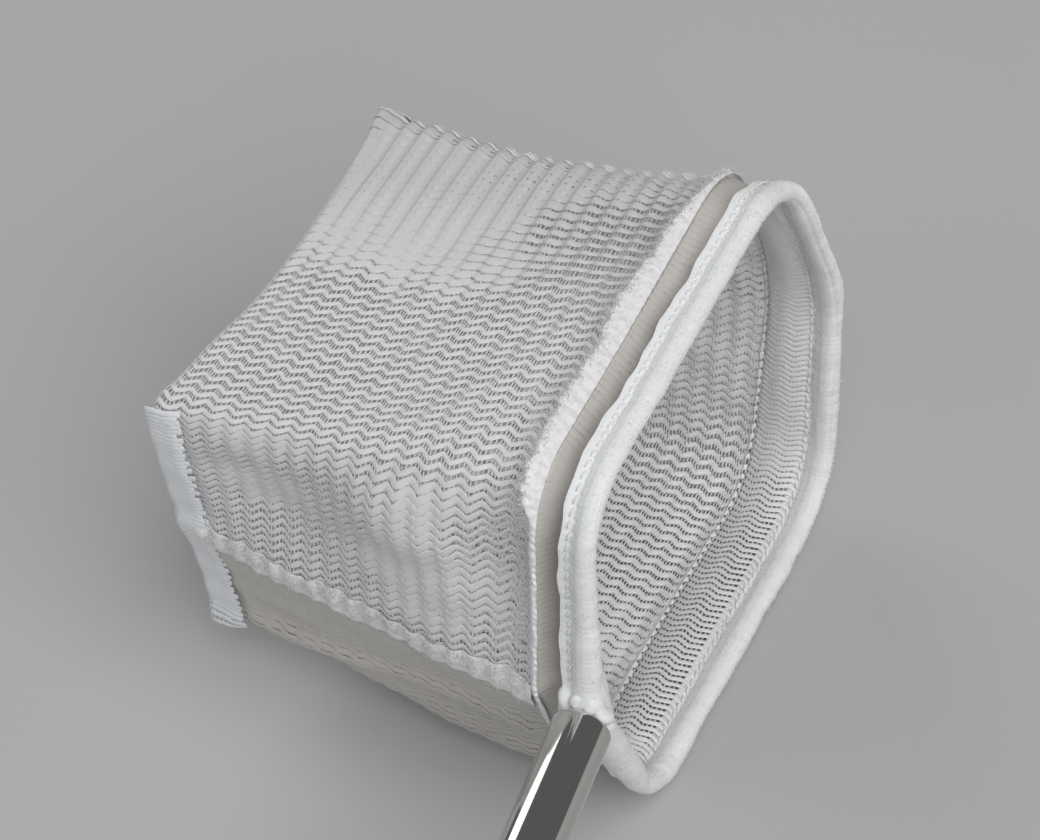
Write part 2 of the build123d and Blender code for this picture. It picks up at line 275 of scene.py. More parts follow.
# Loose fibres: a three-sided needle with a bend, from each root along its direction to a point.
def needles(roots, directions, lengths, radius):
    directions = unit(directions)
    side = unit(np.cross(directions, chance.normal(size=directions.shape)))
    other = np.cross(directions, side)
    angle = 2 * np.pi * np.arange(3) / 3
    around = np.cos(angle)[None, :, None] * side[:, None] + np.sin(angle)[None, :, None] * other[:, None]
    ring = radius * around
    bendTo = fibre["bend"] * lengths[:, None] * chance.normal(size=directions.shape)
    middle = roots + 0.55 * lengths[:, None] * directions
    tip = roots + lengths[:, None] * directions + bendTo
    points = np.concatenate([roots[:, None] + ring, middle[:, None] + fibre["taper"] * ring, tip[:, None]], 1)
    index = np.arange(points[..., 0].size).reshape(-1, 7)
    low, high, top = index[:, :3], index[:, 3:6], index[:, 6]
    turn = np.roll(np.arange(3), -1)
    walls = np.stack([low, low[:, turn], high[:, turn], high], -1).reshape(-1, 4)
    point = np.stack([high, high[:, turn], np.repeat(top[:, None], 3, 1)], -1).reshape(-1, 3)
    spot = chance.uniform(0.05, 0.95, (len(roots), 1, 2))
    uv = spot + chance.uniform(-0.01, 0.01, points.shape[:2] + (2,))
    return points.reshape(-1, 3), [walls, point, low[:, ::-1]], uv.reshape(-1, 2)


# Shader sums written as expressions: each operator adds one Math node.
class Wire:
    def __init__(self, tree, socket):
        self.tree, self.socket = tree, socket

    def math(self, operation, a, b):
        node = self.tree.nodes.new("ShaderNodeMath")
        node.operation = operation
        for socket, value in zip(node.inputs, (a, b)):
            plug(self.tree, value, socket)
        return Wire(self.tree, node.outputs[0])

    def __add__(self, other):
        return self.math("ADD", self, other)

    def __radd__(self, other):
        return self.math("ADD", other, self)

    def __sub__(self, other):
        return self.math("SUBTRACT", self, other)

    def __rsub__(self, other):
        return self.math("SUBTRACT", other, self)

    def __mul__(self, other):
        return self.math("MULTIPLY", self, other)

    def __rmul__(self, other):
        return self.math("MULTIPLY", other, self)

    def __pow__(self, other):
        return self.math("POWER", self, other)

    def __rpow__(self, other):
        return self.math("POWER", other, self)


def plug(tree, value, socket):
    if isinstance(value, Wire):
        tree.links.new(value.socket, socket)
    else:
        socket.default_value = value


class Finish:
    def __init__(self, name):
        self.material = bpy.data.materials.new(name)
        self.material.use_nodes = True
        self.tree = self.material.node_tree
        self.shader = self.tree.nodes["Principled BSDF"]

    # Any other node: its type, its settings first, then the values or links of its sockets.
    def add(self, kind, settings=None, output=0, **sockets):
        node = self.tree.nodes.new("ShaderNode" + kind)
        for key, value in (settings or {}).items():
            setattr(node, key, value)
        for key, value in sockets.items():
            numbered = key[0] == "i" and key[1:].isdigit()  # i6 is the seventh socket
            plug(self.tree, value, node.inputs[int(key[1:]) if numbered else key])
        return Wire(self.tree, node.outputs[output])

    def set(self, **inputs):
        for key, value in inputs.items():
            plug(self.tree, value, self.shader.inputs[key.replace("_", " ")])
        return self

    def place(self, where="Object"):
        node = self.tree.nodes.new("ShaderNodeTexCoord")
        return Wire(self.tree, node.outputs[where])

    def noise(self, scale, detail=3.0, where=None):
        return self.add("TexNoise", Vector=where or self.place(), Scale=scale, Detail=detail, Roughness=0.55)

    def blend(self, share, low, high):
        settings = dict(data_type="RGBA")
        return self.add("Mix", settings, output=2, i0=share, i6=low, i7=high)

    def bump(self, height, strength, distance):
        return self.add("Bump", Height=height, Strength=strength, Distance=distance)


# White nylon yarn: a cool white that drifts a little, with a silky shine that varies.
def yarnFinish(name, cool, warm, roughness):
    f = Finish(name)
    drift = f.noise(90.0)
    f.set(Base_Color=f.blend(drift, cool, warm), Roughness=roughness + 0.18 * f.noise(1400.0, 1.0))
    f.set(Normal=f.bump(f.noise(3200.0, 2.0), 0.35, 0.00008))
    f.set(Specular_IOR_Level=0.5, Sheen_Weight=0.08, Sheen_Roughness=0.4)
    return f


# Felted cloth: the same white, roughened by fluff, with painted shade in the fluff's hollows where its fibres
# part.
def feltFinish(name, cool, warm, hollowShade, roughness):
    f = yarnFinish(name, cool, warm, roughness)
    fluff = f.noise(1500.0, 4.0)
    # Painted shade mask: high where the fluff bump is low.
    hollowShadeMask = f.add("MapRange", Value=fluff, i1=0.36, i2=0.56, i3=1.0, i4=0.0)
    f.set(Base_Color=f.blend(0.65 * hollowShadeMask, f.blend(f.noise(90.0), cool, warm), hollowShade))
    f.set(Normal=f.bump(fluff, 0.4, 0.0002))
    return f


# Folded mesh on the rim: fine ribs across the strip, lighter on the crests of ribs and fluff as painted
# shade, and patches of small slits painted dark as painted shade of the fold's inside.
def rimFinish(name, cool, warm, slitShade, roughness):
    f = yarnFinish(name, cool, warm, roughness)
    strip = f.add("UVMap", dict(uv_map="OFBake"))
    along, across = f.add("SeparateXYZ", Vector=strip), f.add("SeparateXYZ", output=1, Vector=strip)
    stray = 6.0 * f.noise(160.0, 2.0)
    row = f.add("Math", dict(operation="COSINE"), i0=1950.0 * along + stray)
    column = f.add("Math", dict(operation="COSINE"), i0=94.0 * across + stray)
    holeWithShade = (0.5 + 0.5 * row) ** 2.0 * (0.5 + 0.5 * column) ** 3.0
    patchy = f.add("MapRange", Value=f.noise(260.0), i1=0.46, i2=0.66, i3=0.0, i4=0.45)
    fluff = f.noise(1700.0, 4.0)
    # Lighter on raised fluff and rib crests, a painted shade along the relief; the slit patches are painted
    # dark, a painted shade of the fold's inside.
    cloth = f.blend(0.35 * fluff + 0.18 * (0.5 + 0.5 * row), cool, warm)
    f.set(Base_Color=f.blend(patchy * holeWithShade, cloth, slitShade))
    f.set(Normal=f.bump(fluff - 0.5 * holeWithShade * patchy + 0.10 * row, 0.35, 0.0002))
    return f


# Mesh with painted shade on part of its width: a darker tone below one share of the map's height, and above
# another.
def zoneFinish(name, cool, warm, shadeTone, roughness, below=(-2.0, -1.0), above=(2.0, 3.0)):
    f = yarnFinish(name, cool, warm, roughness)
    strip = f.add("UVMap", dict(uv_map="OFBake"))
    height = f.add("SeparateXYZ", output=1, Vector=strip)
    # Painted shade masks: low covers the map below one share, high covers it above another.
    low = f.add("MapRange", Value=height, i1=below[0], i2=below[1], i3=1.0, i4=0.0)
    high = f.add("MapRange", Value=height, i1=above[0], i2=above[1], i3=0.0, i4=1.0)
    f.set(Base_Color=f.blend(low + high, f.blend(f.noise(90.0), cool, warm), shadeTone))
    return f


# Each finish: a cool and a warm white, then the tone of its painted shade in a darker zone, hollows or slits,
# and its roughness.
meshYarn = yarnFinish("meshYarn", (0.79, 0.80, 0.83, 1), (0.82, 0.81, 0.81, 1), 0.26).material
# Header band: painted shade along its near side and top, where the band lies recessed between the seam and
# the sleeve.
bandShadedYarn = zoneFinish(
    "bandShadedYarn", (0.78, 0.79, 0.81, 1), (0.81, 0.79, 0.77, 1), (0.60, 0.575, 0.55, 1), 0.34,
    below=(0.35, 0.42), above=(0.88, 0.94),
).material
# Top: painted shade over the far part of the top, where its rows are closed up.
topShadedYarn = zoneFinish(
    "topShadedYarn", (0.76, 0.77, 0.80, 1), (0.79, 0.78, 0.785, 1), (0.60, 0.60, 0.61, 1), 0.28,
    above=(0.42, 0.80),
).material
# Near walls: a darker white than the rest of the mesh, a painted shade, and a further painted shade over the
# lower near wall.
nearShadedYarn = zoneFinish(
    "nearShadedYarn", (0.70, 0.71, 0.74, 1), (0.73, 0.72, 0.71, 1), (0.58, 0.56, 0.535, 1), 0.32,
    below=(0.45, 0.50),
).material
# Bottom: painted shade over its near part, where it bulges out underneath.
bottomShadedYarn = zoneFinish(
    "bottomShadedYarn", (0.82, 0.83, 0.855, 1), (0.85, 0.84, 0.83, 1), (0.48, 0.455, 0.42, 1), 0.32,
    above=(0.66, 0.92),
).material
# Seams: the third tone is the painted shade in the felt's hollows.
seamYarn = feltFinish(
    "seamYarn", (0.88, 0.89, 0.91, 1), (0.91, 0.89, 0.89, 1), (0.70, 0.70, 0.71, 1), 0.50,
).material
tapeYarn = yarnFinish("tapeYarn", (0.80, 0.84, 0.89, 1), (0.85, 0.86, 0.88, 1), 0.40).material
# Rim: the third tone is the painted shade in the slits.
rimYarn = rimFinish(
    "rimYarn", (0.86, 0.885, 0.90, 1), (0.92, 0.92, 0.925, 1), (0.42, 0.43, 0.44, 1), 0.48,
).material
threadYarn = yarnFinish("threadYarn", (0.84, 0.86, 0.88, 1), (0.88, 0.87, 0.86, 1), 0.22).material
print("cloth finishes ready")

# The pocket. Values in braces are set by wall count. A dent or swell is a wall count, its spread, a share of
# the depth, its spread, and a height outward.
pocket = dict(
    seamDepth={0: 7.6, 0.6: 7.2, 1.5: 7.0, 2.4: 8.0, 3: 9.0, 4: 10.6, 4.6: 11.0, 5.3: 9.6},
    steps=108,
    wallRows=[21, 37, 21, 21, 37, 21],
    rib={  # height of the ribs that cross the rows
        0: 0.20, 0.8: 0.22, 1.2: 0.15, 1.55: 0.18, 1.75: 0.38, 1.9: 0.48, 2.03: 0.36, 2.4: 0.26, 3: 0.20,
        4.5: 0.08, 5.8: 0.08,
    },
    rowWidth={
        0.05: 0.74, 1.7: 0.80, 2.0: 1.05, 2.5: 1.4, 3.4: 1.3, 3.9: 1.02, 4.4: 1.02, 4.7: 1.3, 5.05: 1.4,
        5.8: 1.45,
    },
    swing={
        0: 0.38, 1.45: 0.38, 1.75: 0.10, 2.25: 0.08, 2.6: 0.30, 3.8: 0.26, 4.9: 0.26, 5.1: 0.10, 5.9: 0.10,
    },
    shutWidth={0: 2.5, 1.88: 2.5, 1.96: 1.8, 2.05: 1.8, 2.14: 2.5},  # row width where the cloth is closed up
    foldRadius={0: 0.8, 0.8: 1.6, 1.5: 3.0, 1.9: 1.4, 2.06: 0.6, 3: 0.8, 3.8: 1.6, 4.5: 3.0, 5.2: 1.6},
    dents=[
        (1.5, 0.50, 0.50, 0.40, -2.4),
        (2.0, 0.30, 0.50, 0.36, -1.3),
        (1.5, 0.36, 1.00, 0.34, -3.0),
        (0.55, 0.42, 0.08, 0.09, -3.0),
        (0.70, 0.20, 0.36, 0.13, 2.0),
        (0.45, 0.28, 0.68, 0.18, -2.6),
        (4.5, 0.60, 0.40, 0.40, 1.6),
        (4.95, 0.26, 0.28, 0.26, 2.6),
        (3.0, 0.70, 0.50, 0.35, -1.2),
        (2.0, 0.07, 1.00, 0.05, 1.6),
        (4.0, 0.07, 1.00, 0.05, 1.6),
        (1.0, 0.07, 1.00, 0.05, 1.0),
        (5.0, 0.07, 1.00, 0.05, 1.4),
    ],
    creaseWall={0.0: 5.52, 0.1: 5.50, 0.45: 5.38, 1.0: 5.0},  # wall count of the crease by share of depth
    creaseHeight=1.1,
)
pocketLength = rear["depth"] - 10.0  # less about the front seam's depth


# Pocket cloth: a straight run from the seam outline to the rear outline, rolled over at its rear fold, then
# pushed along the outline's outward direction by dents, soft waves and the ribs that the knit makes.
def pocketPoint(q, s, rolled=True):
    fold = roundTheMouth(q, pocket["foldRadius"]) / pocketLength * (1.0 if rolled else 0.05)
    start = 1 - 1.3 * fold
    turn = np.clip((s - start) / (1 - start), 0, 1.2) * np.pi / 2
    run = np.where(s < start, s * (1 - fold) / start, 1 - fold + fold * np.sin(turn))
    inset = np.where(s < start, 0, fold * pocketLength * (1 - np.cos(turn)))
    front, back = loopPoint(mouthLoop, q), loopPoint(rearLoop, q)
    lean = np.radians(rear["lean"])
    x = (1 - run) * -roundTheMouth(q, pocket["seamDepth"])
    x = x + run * (back[..., 0] * np.sin(lean) - rear["depth"])
    y = (1 - run) * front[..., 0] + run * back[..., 0] * np.cos(lean)
    z = (1 - run) * front[..., 1] + run * back[..., 1]
    out = unit((1 - run[..., None]) * loopOut(mouthLoop, q) + run[..., None] * loopOut(rearLoop, q))
    lift = -inset
    for wall, wallSpread, deep, deepSpread, height in pocket["dents"]:
        away = np.mod(q - wall + 3, 6) - 3
        lift = lift + height * np.exp(-((away / wallSpread) ** 2) - ((s - deep) / deepSpread) ** 2)
    lift = lift + 0.32 * ripple(4.2 * q, 9.0 * s, 5) + 0.16 * ripple(11 * q, 20 * s, 8)
    crease = np.interp(s, list(pocket["creaseWall"]), list(pocket["creaseWall"].values()))
    lift = lift + pocket["creaseHeight"] * np.exp(-(((np.mod(q - crease + 3, 6) - 3) / 0.09) ** 2))
    rib = roundTheMouth(q, pocket["rib"]) * (1 - smooth((s - 0.90) / 0.08))
    lift = lift + rib * np.cos(2 * np.pi * s * pocket["steps"] / yarn["stepsPerZigzag"])
    lift = lift * (1 - np.exp(-((s / 0.035) ** 2)))
    return np.stack([x, y + lift * out[..., 0], z + lift * out[..., 1]], -1)


def pocketWall(u, v):
    return pocketPoint(v, u)


# Rear wall: rows run from the upper rear edge down to the lower one, bowed out at the near and far ends.
rearWall = dict(steps=90, sag=2.2, bow=1.5, rib=0.25)


def rearPoint(u, v):
    high, low = pocketPoint(1 + v, np.ones_like(u)), pocketPoint(5 - v, np.ones_like(u))
    middle = 1 - (2 * u - 1) ** 2
    p = high + (low - high) * u[..., None]
    sag = rearWall["sag"] * middle * np.sin(np.pi * np.clip(v, 0, 1)) + 0.3 * ripple(6 * u, 7 * v, 3) * middle
    ribWave = np.cos(2 * np.pi * u * rearWall["steps"] / yarn["stepsPerZigzag"])
    rib = rearWall["rib"] * ribWave * np.minimum(1, 8 * middle)
    bow = rearWall["bow"] * (2 * v - 1) * middle
    return p + np.stack([-(sag + rib), bow, 0 * u], -1)


depthSteps = np.linspace(0, 1, pocket["steps"] + 1)
wallNames = [
    "near_wall_upper", "top_wall", "far_wall_upper",
    "far_wall_lower", "bottom_wall", "near_wall_lower",
]
wallKnits = []
# Rows widen where the cloth is closed up: past a slanting line on the far part of the top, and in two pressed
# patches on the upper half of the near wall.
for wall, rows in enumerate(pocket["wallRows"]):
    rowPlaces = wall + np.linspace(0, 1, rows + 1)
    openness = roundTheMouth(rowPlaces, pocket["rowWidth"])[:, None]
    height = rowPlaces[:, None]
    patchy = ripple(26 * depthSteps, 14 * height, 12)
    opened = 1.80 - 0.38 * smooth((depthSteps - 0.05) / 0.5) + 0.07 * patchy
    shut = smooth((height - opened) / 0.42) * smooth((2.5 - height) / 0.2)
    frontPress = np.exp(-(((depthSteps - 0.30) / 0.14) ** 2))
    rearPress = 0.6 * np.exp(-(((depthSteps - 0.74) / 0.12) ** 2)) * smooth((height - 0.35) / 0.2)
    pressed = np.clip(0.5 * (frontPress + rearPress) + 0.12 * patchy, 0, 0.8)
    shut = shut + pressed * smooth(height / 0.2) * smooth((1.05 - height) / 0.3)
    openness = openness + (roundTheMouth(height, pocket["shutWidth"]) - openness) * shut
    swing = roundTheMouth(rowPlaces, pocket["swing"])
    wallKnits.append(knit(pocketWall, depthSteps, rowPlaces, openness, swing=swing, lastRow=False))


# Size of a cut in metres: the mean length across the rows on their surface, by the mean length along them.
def cutSize(surface, u, v):
    p = surface(*np.broadcast_arrays(u[None, ::3], v[:, None]))
    wide = np.linalg.norm(np.diff(p, axis=0), axis=-1).sum(0).mean()
    deep = np.linalg.norm(np.diff(p, axis=1), axis=-1).sum(1).mean()
    return round(wide / 1000, 4), round(deep / 1000, 4)


def clothPiece(name, meshes, material, slot, nodes, flat):
    points, faces, uv = together(*meshes)
    piece = addPiece(name, toShared(points), faces, uv)
    finishPiece(piece, material, slot, *nodes)
    return piece


leastSide = 0.01  # a sheet's flat side is taken as no less than this
wallSizes = [cutSize(pocketWall, depthSteps, w + np.linspace(0, 1, 20)) for w in range(6)]
pocketPieces = [
    ("pocketTop", [1], topShadedYarn),
    ("pocketBottom", [4], bottomShadedYarn),
    ("pocketNear", [5, 0], nearShadedYarn),
    ("pocketFar", [2, 3], meshYarn),
]
for name, walls, finish in pocketPieces:
    flat = (sum(wallSizes[w][0] for w in walls), wallSizes[walls[0]][1])
    clothPiece(name, [wallKnits[w] for w in walls], finish, "mesh", [wallNames[w] for w in walls], flat)

rearSteps = np.linspace(0, 1, rearWall["steps"] + 1)
rearRows = np.linspace(0, 1, pocket["wallRows"][1] + 1)
clothPiece("pocketRear", [knit(rearPoint, rearSteps, rearRows)], meshYarn, "mesh", ["rear_wall"],
           cutSize(rearPoint, rearSteps, rearRows))
print("pocket knitted")

# Header band: from the seam forward to the wire's sleeve, drawn in between the two as half a sine wave.
band = dict(
    front=-1.4,
    steps=15,
    rows=[38, 54, 38, 38, 54, 38],
    rowWidth={0: 1.26, 2.1: 1.40, 2.5: 0.92, 3.4: 0.70, 4.8: 0.70, 5.3: 1.26},
    swing={0: 0.05, 2.1: 0.05, 2.6: 0.16, 3.4: 0.34, 4.8: 0.34, 5.3: 0.05},
    draw={0: 3.0, 0.8: 3.2, 1.5: 2.2, 1.9: 0.9, 2.1: 0.5, 3: 1.2, 4.5: 1.2, 5.2: 2.0},
)


def bandPoint(u, v):
    yz, out = loopPoint(mouthLoop, v), loopOut(mouthLoop, v)
    x = -roundTheMouth(v, pocket["seamDepth"]) * (1 - u) + band["front"] * u
    lift = -roundTheMouth(v, band["draw"]) * np.sin(np.pi * np.clip(u, 0, 1))
    lift = lift + 0.15 * ripple(5 * v, 3 * u, 21)
    return np.stack([x, yz[..., 0] + lift * out[..., 0], yz[..., 1] + lift * out[..., 1]], -1)


bandSteps = np.linspace(0, 1, band["steps"] + 1)
bandRows = np.concatenate([w + np.arange(rows) / rows for w, rows in enumerate(band["rows"])] + [[6]])
bandWidth = roundTheMouth(bandRows, band["rowWidth"])
bandSize = cutSize(bandPoint, bandSteps, bandRows)
bandSwing = roundTheMouth(bandRows, band["swing"])
bandKnit = knit(bandPoint, bandSteps, bandRows, bandWidth, swing=bandSwing, lastRow=False)
bandFlat = (bandSize[0], max(leastSide, bandSize[1]))
clothPiece("headerBand", [bandKnit], bandShadedYarn, "mesh", ["header_band"], bandFlat)
print("header band knitted")


# A felted edge: a grid of points taken from a surface of two shares, kept as one open sheet.
def feltSheet(surface, along, across):
    a, b = np.meshgrid(along, across, indexing="ij")
    index = np.arange(a.size).reshape(a.shape)
    ends = np.stack([(a - along[0]) / (along[-1] - along[0]), (b - across[0]) / (across[-1] - across[0])], -1)
    return surface(a, b).reshape(-1, 3), [ringFaces(index, closed=False)], (0.01 + 0.98 * ends).reshape(-1, 2)


# Fibres that stand off a felted edge, rooted at random; each leans away from the cloth and along a pull.
def feltFray(name, root, out, pull, count, longest, slot="mesh"):
    ways = unit(out) + pull + chance.normal(0, fibre["spread"], root.shape)
    points, faces, uv = needles(root, ways, chance.uniform(0.2, longest, count), fibre["radius"])
    return finishPiece(addPiece(name, toShared(points), faces, uv), seamYarn, slot)


# Front seam: both raw edges stand out from the seam as one soft ridge that leans back over the pocket.
ruffle = dict(
    height={
        0: 0.5, 0.84: 0.5, 1.0: 2.9, 1.5: 3.0, 1.75: 2.1, 1.95: 0.8, 2.5: 0.9, 3: 1.4, 4: 1.8, 5: 2.2,
        5.3: 0.5,
    },
    lean={0: 40, 0.7: 40, 1.2: 58, 1.8: 64, 2.1: 72, 3: 50, 4: 45, 5: 45},
    thick=0.62,
    along=1400,
    across=21,
    fibres=12000,
    longest=0.9,
    frayWalls=(0.95, 5.2),
)


# Ridge section: b runs up one side, over the crest at a half and down the other side.
def rufflePoint(q, b):
    yz, out = loopPoint(mouthLoop, q), loopOut(mouthLoop, q)
    fromCrest = np.abs(b - 0.5) * 2
    ragged = 1 + 0.12 * ripple(14 * q, 0 * q, 31) + 0.09 * ripple(70 * q, 2 * b, 32)
    height = roundTheMouth(q, ruffle["height"]) * ragged
    lean = np.radians(roundTheMouth(q, ruffle["lean"]) + 8 * ripple(7 * q, 0 * q, 33))
    up = height * (1 - fromCrest ** 1.7)
    half = -np.sign(b - 0.5) * ruffle["thick"] * (1 - np.exp(-3.5 * fromCrest))
    half = half + 0.10 * ripple(70 * q, 8 * b, 34)
    half = half + 0.05 * ripple(190 * q, 20 * b, 36)
    x = -roundTheMouth(q, pocket["seamDepth"]) - up * np.sin(lean) - half * np.cos(lean)
    lift = up * np.cos(lean) - half * np.sin(lean)
    return np.stack([x, yz[..., 0] + lift * out[..., 0], yz[..., 1] + lift * out[..., 1]], -1)


ridge = feltSheet(rufflePoint, np.linspace(0, 6, ruffle["along"]), np.linspace(1, 0, ruffle["across"]))
frayWall = chance.uniform(*ruffle["frayWalls"], ruffle["fibres"])
frayShare = np.clip(chance.normal(0.5, 0.13, ruffle["fibres"]), 0.15, 0.85)
frayRoot = rufflePoint(frayWall, frayShare)
fromCore = frayRoot - rufflePoint(frayWall, 1 - frayShare)
crest, foot, otherFoot = (rufflePoint(frayWall, share + 0 * frayWall) for share in (0.5, 0.0, 1.0))
uphill = 0.9 * unit(crest - 0.5 * (foot + otherFoot))
seamFray = feltFray("frontSeamFray", frayRoot, fromCore, uphill, ruffle["fibres"], ruffle["longest"])
ridgeSize = cutSize(lambda u, v: rufflePoint(v, u), np.linspace(0, 1, 61), np.linspace(0, 6, 400))
ridgeFlat = (ridgeSize[0], max(leastSide, ridgeSize[1]))
clothPiece("frontSeamEdge", [ridge], seamYarn, "mesh", ["front_seam"], ridgeFlat)
print("front seam ready")


# Side seams: the raw edges of the side's two halves, pressed flat up against the upper half.
sideSeam = dict(root=-0.13, height=4.8, thick=0.85, along=420, across=25, fibres=3000, longest=0.7)


def sideSeamPoint(u, b, middle):
    upward = 1.0 if middle == 0 else -1.0
    root = middle + upward * sideSeam["root"] + 0 * u
    height = sideSeam["height"] * (1 + 0.10 * ripple(17 * u, 0 * u, 43) + 0.05 * ripple(60 * u, 0 * u, 44))
    wallHeight = np.linalg.norm(pocketPoint(root + 0.1, u) - pocketPoint(root - 0.1, u), axis=-1) / 0.2
    place = root + upward * b * height / wallHeight
    flat = loopOut(rearLoop, place)
    away = sideSeam["thick"] * np.sqrt(np.clip(1.03 - b, 0.02, 1)) * (1 - np.exp(-14 * b)) + 0.12
    away = away + 0.05 * ripple(40 * u, 5 * b, 41) + 0.05 * ripple(110 * u, 14 * b, 42)
    return pocketPoint(place, u) + np.stack([0 * u, away * flat[..., 0], away * flat[..., 1]], -1)


for name, node, middle in (("nearSideSeam", "near_side_seam", 0.0), ("farSideSeam", "far_side_seam", 3.0)):
    seamSurface = lambda u, b: sideSeamPoint(u, b, middle)
    start, end = (1, 0) if middle == 0 else (0, 1)  # keeps the faces outward on both sides
    upShares = np.linspace(start, end, sideSeam["across"])
    strip = feltSheet(seamSurface, np.linspace(0.01, 0.985, sideSeam["along"]), upShares)
    frayDeep = chance.uniform(0.02, 0.98, sideSeam["fibres"])
    frayShare = chance.uniform(0.0, 1.0, sideSeam["fibres"]) ** 0.4
    frayRoot = seamSurface(frayDeep, frayShare)
    fromWall = np.array([0.0, -1.0 if middle == 0 else 1.0, 0.0]) + 0 * frayRoot
    fray = feltFray(name + "Fray", frayRoot, fromWall, 0.0, sideSeam["fibres"], sideSeam["longest"])
    stripSize = cutSize(lambda u, v: seamSurface(v, u), np.linspace(0, 1, 61), np.linspace(0.01, 0.985, 200))
    stripFlat = (stripSize[0], max(leastSide, stripSize[1]))
    clothPiece(name, [strip], seamYarn, "mesh", [node], stripFlat)
print("side seams ready")

# Boxed corner seams: a closely ribbed strip that stands out along the near and far rear edges.
cornerTape = dict(
    width=0.075,  # share of the pocket's depth
    overhang={-1: 1.6, -0.1: 1.2, 0.1: 0.7, 1: 0.7},
    stand=0.35,
    crown=0.25,
    rows=62,
    steps=12,
    rowWidth=0.95,
    rung=0.24,
    swing=0.1,
)
cornerSeams = [
    ("nearCornerSeam", "near_corner_seam", 0.0, 0.96),
    ("farCornerSeam", "far_corner_seam", 3.0, 0.93),
]


def tapePoint(u, v, corner):
    q = corner + v
    cloth = pocketPoint(q, 1 - cornerTape["width"] * np.clip(u, 0, None), rolled=False)
    out = loopOut(rearLoop, q)
    stand = cornerTape["stand"] + cornerTape["crown"] * np.sin(np.pi * np.clip(u, 0, 1))
    stand = stand + 0.08 * ripple(16 * v, 3 * u, 51)
    overhang = np.interp(v, list(cornerTape["overhang"]), list(cornerTape["overhang"].values()))
    back = overhang * np.clip(1 - 2.5 * u, 0, 1.5)
    return cloth + np.stack([-back, stand * out[..., 0], stand * out[..., 1]], -1)


tapeSteps = np.linspace(0, 1, cornerTape["steps"])
for name, node, corner, end in cornerSeams:
    tapeRows = np.linspace(-end, end, cornerTape["rows"])
    tapeSurface = lambda u, v: tapePoint(u, v, corner)
    evenOdd = np.where(np.arange(cornerTape["rows"]) % 2, 1, -1)
    tail = 1 + 0.05 * evenOdd + chance.normal(0, 0.03, cornerTape["rows"])  # rows end at ragged lengths
    size = cutSize(tapeSurface, tapeSteps, tapeRows)
    ribbed = knit(tapeSurface, tapeSteps, tapeRows, width=cornerTape["rowWidth"], rung=cornerTape["rung"],
                  swing=cornerTape["swing"], tail=tail)
    tapeFlat = (size[0], max(leastSide, 2 * size[1]))
    clothPiece(name, [ribbed], tapeYarn, "mesh", [node], tapeFlat)
print("corner seams ready")

# Rim sleeve: a strip folded over the wire and pinched behind it, carried round the mouth.
sleeve = dict(
    front={
        0: 2.4, 0.22: 1.9, 0.5: 1.5, 1.0: 1.42, 1.9: 1.45, 2.2: 1.7, 2.6: 1.75, 4.6: 1.68, 5.1: 1.8,
        5.6: 2.3,
    },
    beside={
        0: 2.3, 0.22: 1.75, 0.5: 1.42, 1.0: 1.36, 1.9: 1.38, 2.2: 1.42, 2.6: 1.44, 4.6: 1.42, 5.1: 1.6,
        5.6: 2.2,
    },
    shift={0: 0.0, 1.9: 0.0, 2.4: 0.3, 3: 0.4, 4: 0.4, 4.6: 0.4, 5.1: 0.25, 5.6: 0.1},
    wrapShare=0.62,  # share of the half strip that goes round the wire
    wrapAngle=140,
    tailDepth=3.4,
    start=0.7,
    steps=1600,
    around=58,
    slitColumns=(0.30, 0.385, 0.615, 0.70),
    slitPitch=0.68,
    slitDepth=0.05,
    grooveDepth=0.12,
    sawHeight=0.17,
    sawPitch=0.80,
    pinchDepth=0.34,
    wireClear=1.29,  # just over the wire's radius
    cutWidth=0.0120,
    fibres=5000,
    longest=0.42,
)


# Section of the fold, as reach outward and depth behind the wire, by share of the strip's width.
def foldSection(t, front, beside):
    side = np.sign(t - 0.5)
    g = np.abs(t - 0.5) * 2
    wrapShare, wrapAngle = sleeve["wrapShare"], np.radians(sleeve["wrapAngle"])
    swing = np.clip(g / wrapShare, 0, 1) * wrapAngle
    neck = np.clip((g - wrapShare) / (1 - wrapShare), 0, 1)
    waist = 0.42 + 0.22 * smooth((neck - 0.45) / 0.55)
    reach = beside * np.sin(swing) * (1 - smooth(neck / 0.4)) + waist * smooth(neck / 0.4)
    endDepth = front * np.cos(wrapAngle)
    tail = endDepth + (-sleeve["tailDepth"] - endDepth) * neck
    depth = np.where(g < wrapShare, front * np.cos(swing), tail)
    return side * reach, depth


stitch = dict(pitch=1.5, margin=4, reach=0.55, thread=0.13, rise=0.2, away=0.56, depth=-2.2)
rimLength = mouthLoop["along"][-1]
# The strip's surface is its folded section times a random swell, plus a relief outward: a saw edge, less
# slits, a groove and the pinch of each stitch.
rimPlaces = np.linspace(sleeve["start"], rimLength - sleeve["start"], sleeve["steps"])
stripShare = np.linspace(0, 1, sleeve["around"])
length, share = np.meshgrid(rimPlaces, stripShare, indexing="ij")
q = wallOf(mouthLoop, length)
reach, depth = foldSection(share, roundTheMouth(q, sleeve["front"]), roundTheMouth(q, sleeve["beside"]))
swell = 1 + 0.05 * ripple(0.35 * length, 3 * share, 61) + 0.03 * ripple(1.1 * length, 5 * share, 62)
fromFold = np.abs(share - 0.5) * 2
columns = sum(np.exp(-(((share - c) / 0.016) ** 2)) for c in sleeve["slitColumns"])
slits = columns * np.maximum(0, np.cos(2 * np.pi * length / sleeve["slitPitch"])) ** 2
stitchWave = np.cos(2 * np.pi * length / stitch["pitch"])
pinch = np.exp(-(((fromFold - 0.74) / 0.05) ** 2))
groove = np.exp(-(((share - 0.40) / 0.02) ** 2)) * smooth((q - 1.9) / 0.4) * smooth((5.2 - q) / 0.4)
relief = 0.02 * ripple(2.2 * length, 9 * share, 63)
relief = relief - sleeve["slitDepth"] * slits - sleeve["grooveDepth"] * groove
